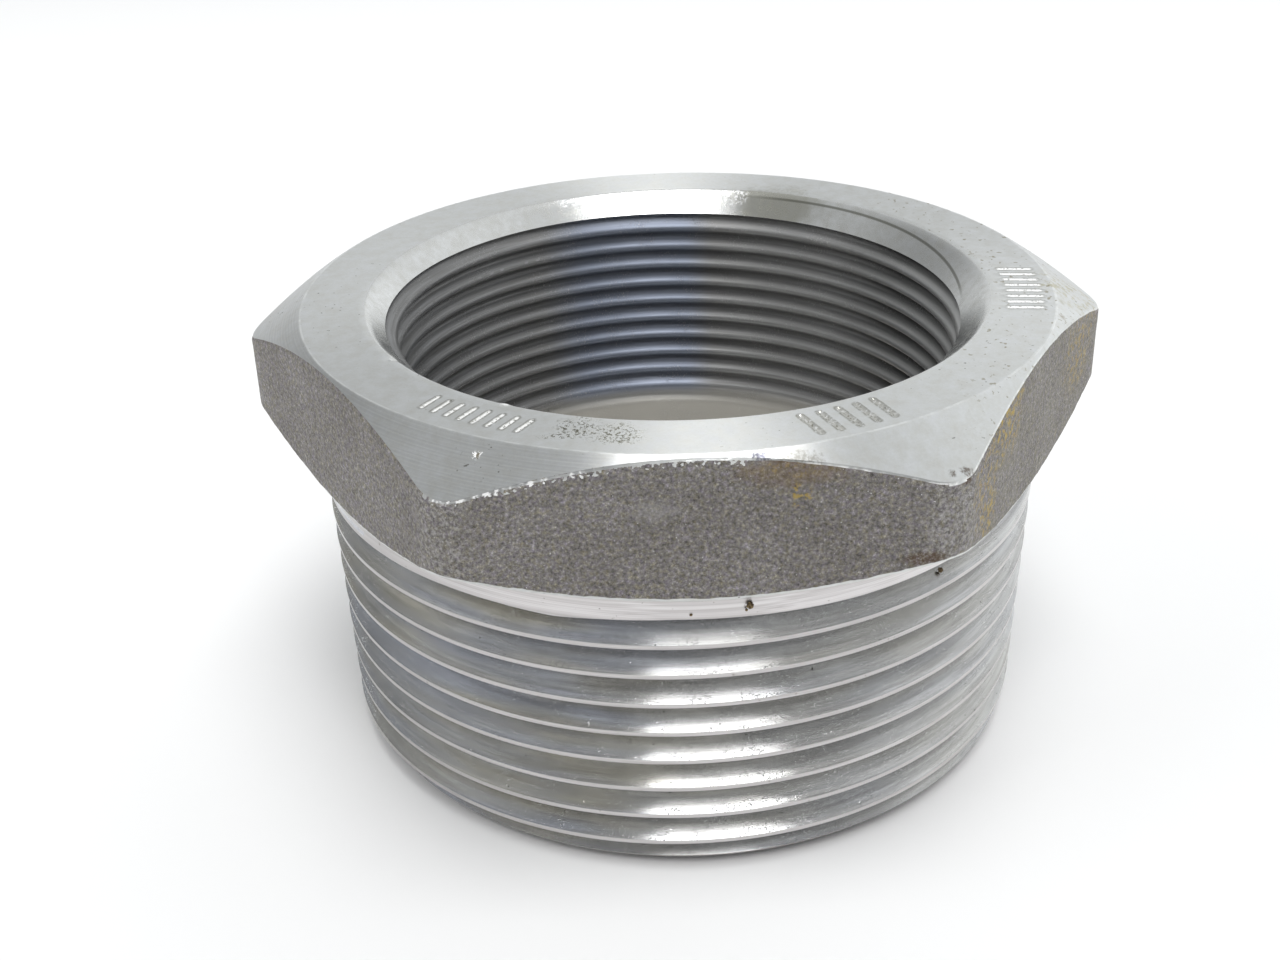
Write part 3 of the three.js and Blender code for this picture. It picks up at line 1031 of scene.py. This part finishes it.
def bore_thread():
    nodes = Nodes("bore_thread", metallic=1, roughness=0.44)
    across, streaks = thread_streaks(nodes, 6.0)
    color = nodes.tones(streaks, (0.19, 0.188, 0.184), (0.235, 0.235, 0.234), (0.29, 0.292, 0.298))
    # Painted reflection: a bluish patch in the middle of the bore, where the overhead lamp's reflection
    # falls.
    lamp_reflection_tint = nodes.times(nodes.rise(nodes.x, -15, -9), nodes.rise(nodes.x, 6, 2))
    color = nodes.cover(color, lamp_reflection_tint, 0.8, (0.20, 0.23, 0.30))
    # Painted light: the thread is made lighter towards the right-hand side of the bore.
    color = nodes.mix(nodes.rise(nodes.x, 4, 10, 0.0, 0.22), color, (0.50, 0.50, 0.49))
    color = nodes.mix(nodes.rise(nodes.x, 20, 28, 0.0, 0.8), color, (0.65, 0.65, 0.64))
    # Painted shade: darker towards the thread roots, most of all on the right-hand side.
    root_shade = nodes.times(nodes.rise(across, 0.35, 0.95), nodes.rise(nodes.x, 20, 26, 0.25, 0.9))
    color = nodes.mix(root_shade, color, (0.10, 0.098, 0.095))
    color = nodes.mix(nodes.rise(nodes.z, 22.0, 19.2), color, (0.56, 0.54, 0.49))
    # Torn specks, lighter in colour: torn metal, partly painted sparkle.
    torn_and_sparkle = torn_specks(nodes, 31)
    color = nodes.cover(color, torn_and_sparkle, 0.3, (0.7, 0.7, 0.7))
    clean_right = nodes.rise(nodes.x, 18, 25, 0.6, 1.0)
    clean_left = nodes.rise(nodes.x, -20, -28, 0.6, 0.9)
    nodes.set("Metallic", nodes.math("MAXIMUM", clean_right, clean_left))
    nodes.set("Roughness", nodes.rise(streaks, 0.35, 0.68, 0.50, 0.40))
    return streaked(nodes, color, streaks, torn_and_sparkle, 1.0, tooled=0.5)


def tool_exit(nodes):
    """The line on the countersink's right side where the threading tool left the metal."""
    drop = nodes.math("DIVIDE", nodes.math("SUBTRACT", 26.0, nodes.y), 21.0)
    line_z = nodes.math("SUBTRACT", 44.88, nodes.times(drop, drop))
    off_line = nodes.math("ABSOLUTE", nodes.math("SUBTRACT", nodes.z, line_z))
    right_side = nodes.times(nodes.rise(nodes.x, 8, 15), nodes.rise(nodes.y, -2, 3))
    return nodes.times(nodes.rise(off_line, 0.16, 0.05), right_side)


def bore_mouth():
    nodes = Nodes("bore_mouth", metallic=1, roughness=0.24)
    mottle = nodes.noise(1.2, 4, 0.7, seed=41)
    color = nodes.ramp(mottle, (0.32, (0.60, 0.60, 0.575)), (0.68, (0.71, 0.72, 0.72)))
    dull = nodes.near((13.5, 27.6, 44.5), 5.5, 0.4, (1.3, 1, 1))
    color = nodes.cover(color, dull, 0.55, (0.30, 0.29, 0.22))
    color = nodes.cover(color, tool_exit(nodes), 0.75, (0.16, 0.16, 0.13))
    # Painted highlight: near-white specks at two places on the countersink, at the ends of the lamp's
    # reflection.
    chatter_highlight = nodes.specks(0.35, 2, 0.6, 43, 0.50, 0.60)
    for point in ((-11.2, 28.7, 45.3), (8.5, 29.2, 44.9)):
        color = nodes.stain(color, chatter_highlight, 0.5, (point, 1.5, (1.2, 1, 1)), 1.0, (0.97, 0.97, 0.97))
    nodes.set("Roughness", nodes.rise(mottle, 0.3, 0.7, 0.30, 0.20))
    return nodes.finish(color, mottle, 0.012, tooled=0.6)


def bore_wall():
    nodes = Nodes("bore_wall", metallic=1, roughness=0.36)
    lines = tool_lines(nodes, 0.3)
    color = nodes.ramp(lines, (0.35, (0.52, 0.505, 0.465)), (0.65, (0.62, 0.60, 0.555)))
    return nodes.finish(color, lines, 0.01, tooled=0.6)


def rust_crumb():
    nodes = Nodes("rust_crumb", metallic=0, roughness=0.8)
    grain = nodes.noise(0.22, 3, 0.7)
    color = nodes.ramp(grain, (0.35, (0.045, 0.032, 0.022)), (0.5, (0.14, 0.095, 0.05)),
                       (0.66, (0.36, 0.27, 0.12)))
    return nodes.finish(color, grain, 0.08)


# -------- the pieces

def add_body():
    body = build_body()
    finish_mesh(body)
    for look in (forged_skin, turned_face, thread_flank, thread_crest, bore_thread, bore_wall, bore_mouth):
        body.data.materials.append(look())
    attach(body, "root")
    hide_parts("bushing_body")


# Where the crumbs sit and how large they are.
CRUMBS = (
    ((4.35, -36.74, 30.2), 0.30),
    ((-0.75, -36.75, 29.45), 0.13),
    ((16.75, -31.6, 25.9), 0.20),
    ((22.6, -27.7, 27.5), 0.24),
    ((32.2, -14.6, 15.3), 0.34),
    ((4.0, -36.74, 29.75), 0.13))


def add_crumbs():
    """Crumbs of rust and dirt that cling to the collar and the outer thread."""
    work = bmesh.new()
    for seed, (place, size) in enumerate(CRUMBS, 1):
        made = bmesh.ops.create_icosphere(work, subdivisions=3, radius=size)["verts"]
        for vertex in made:
            point = vertex.co / size
            lumps = 1 + 0.55 * soft_noise(point.x * 1.6 + seed * 5, point.y * 1.6, point.z * 1.6)
            lumps += 0.30 * soft_noise(point.x * 4 + seed * 9, point.y * 4, point.z * 4)
            vertex.co = (vertex.co * lumps * 0.9 + Vector(place)) * MM
    mesh = bpy.data.meshes.new("rust_crumbs")
    work.to_mesh(mesh)
    work.free()
    mesh.materials.append(rust_crumb())
    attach(shown("rust_crumbs", mesh), "root")


# -------- floor, light and camera

def add_floor():
    """A pale table top, with painted light that makes it slightly brighter towards the back."""
    reach = 3.0
    mesh = bpy.data.meshes.new("floor")
    corners = [(-reach, -reach, 0), (reach, -reach, 0), (reach, reach, 0), (-reach, reach, 0)]
    mesh.from_pydata(corners, [], [(0, 1, 2, 3)])
    nodes = Nodes("pale_floor", metallic=0, roughness=0.7)
    # Painted light: the table's colour gets lighter towards the back.
    tone = nodes.mix(nodes.rise(nodes.y, -150, 80), (0.74, 0.74, 0.74), (0.89, 0.89, 0.89))
    nodes.set("Base Color", nodes.mix(nodes.rise(nodes.y, 80, 330), tone, (0.985, 0.985, 0.985)))
    mesh.materials.append(nodes.material)
    shown("floor", mesh)


def add_lamp(name, place, size, energy):
    """A soft lamp, facing straight down."""
    lamp = bpy.data.lights.new(name, "AREA")
    lamp.size = size
    lamp.energy = energy
    made = shown(name, lamp)
    made.location = place
    return made


def add_light():
    """One long soft lamp overhead, reaching from above the object towards the camera."""
    lamp = add_lamp("overhead", (0.09, -0.45, 1.1), 0.52, 10.6).data
    lamp.shape = "RECTANGLE"
    lamp.size_y = 1.0


def add_fill():
    """A weak soft lamp at the left that lights the table but shows in no reflection."""
    fill = add_lamp("fill", (-0.6, -0.2, 0.46), 0.5, 1.5)
    fill.rotation_euler = (-fill.location).to_track_quat("-Z", "Y").to_euler()
    fill.visible_glossy = False


# For each direction in the room the cosines of the angle to it between which the brightness changes,
# and the brightness at them.
ROOM = (
    ((1, 0, 0), -0.8, 0.8, 0.49, 1.0),
    ((-0.72, 0.62, 0.3), 0.80, 0.97, 1.0, 0.65),
    ((0, -1, 0.1), 0.05, 0.75, 1.0, 0.25),
    ((0, 0, 1), 0.26, 0.42, 1.22, 1.0))


def add_world():
    """A pale room: darker at the left and in the back left corner, darkest in front, brighter low down."""
    world = bpy.data.worlds.new("studio")
    bpy.context.scene.world = world
    world.use_nodes = True
    tree = Tree(world.node_tree)
    direction = tree.new("TexCoord").outputs["Generated"]
    brightness = 1.0
    for aim, *steps in ROOM:
        turn = tree.vector("DOT_PRODUCT", direction, Vector(aim).normalized())
        brightness = tree.times(brightness, tree.rise(turn, *steps, course="LINEAR"))
    background = tree.tree.nodes["Background"]
    tree.put(background.inputs["Color"], (0.97, 0.99, 1.0, 1))
    tree.put(background.inputs["Strength"], brightness)


def add_camera():
    azimuth, elevation, roll = radians(-0.926), radians(27.889), radians(-1.737)
    distance = 177.064
    target = Vector((-4.188, 0, 23.257))
    back = Vector((0, -cos(elevation), sin(elevation)))
    side = Vector((1, 0, 0))
    above = Vector((0, sin(elevation), cos(elevation)))
    right = cos(roll) * side + sin(roll) * above
    up = -sin(roll) * side + cos(roll) * above
    matrix = Matrix((right, up, back)).transposed().to_4x4()
    matrix.translation = (target + distance * back) * MM
    camera = shown("camera", bpy.data.cameras.new("camera"))
    camera.data.sensor_width = 36
    camera.data.lens = 46.40
    camera.data.clip_start = 0.01
    camera.matrix_world = Matrix.Rotation(azimuth, 4, "Z") @ matrix
    bpy.context.scene.camera = camera


add_body()
add_crumbs()
add_floor()
add_light()
add_fill()
add_world()
add_camera()
bpy.context.scene.view_settings.view_transform = "Standard"
